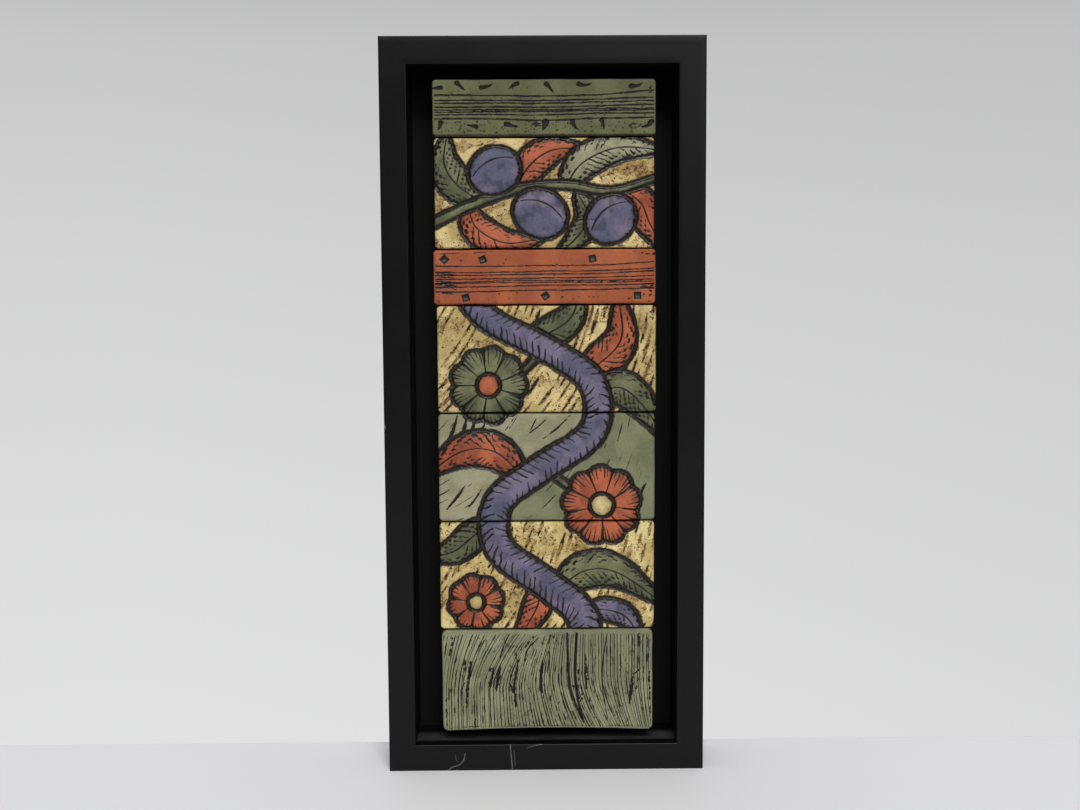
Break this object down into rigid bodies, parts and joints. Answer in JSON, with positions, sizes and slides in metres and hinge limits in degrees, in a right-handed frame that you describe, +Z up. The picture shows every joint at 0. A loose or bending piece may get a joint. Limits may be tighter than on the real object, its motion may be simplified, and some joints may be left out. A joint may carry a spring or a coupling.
{
  "type": "tile plaque",
  "caption": "Tall wall plaque: a stack of carved ceramic tiles set in a deep black frame.",
  "frame": {"origin": "middle of the back panel's rear face, which lies against the wall", "axes": "+Z up along the plaque's height, -Y out of the wall towards the viewer, +X to the viewer's right"},
  "size_m": [0.22, 0.047, 0.5052],
  "materials": {
    "frame_black": "satin",
    "board_black": "matte",
    "glaze_green": "satin",
    "glaze_orange": "satin",
    "glaze_cream": "satin",
    "glaze_sage": "satin"
  },
  "bodies": {
    "root": {"frame_top_rail": "frame_black", "frame_bottom_rail": "frame_black", "frame_left_stile": "frame_black", "frame_right_stile": "frame_black", "back_panel": "board_black", "mounting_board": "board_black", "top_band_tile": "glaze_green", "fruit_tile": "glaze_cream", "orange_band_tile": "glaze_orange", "vine_tile_upper": "glaze_cream", "vine_tile_middle": "glaze_sage", "vine_tile_lower": "glaze_cream", "combed_tile": "glaze_sage"}
  },
  "joints": []
}
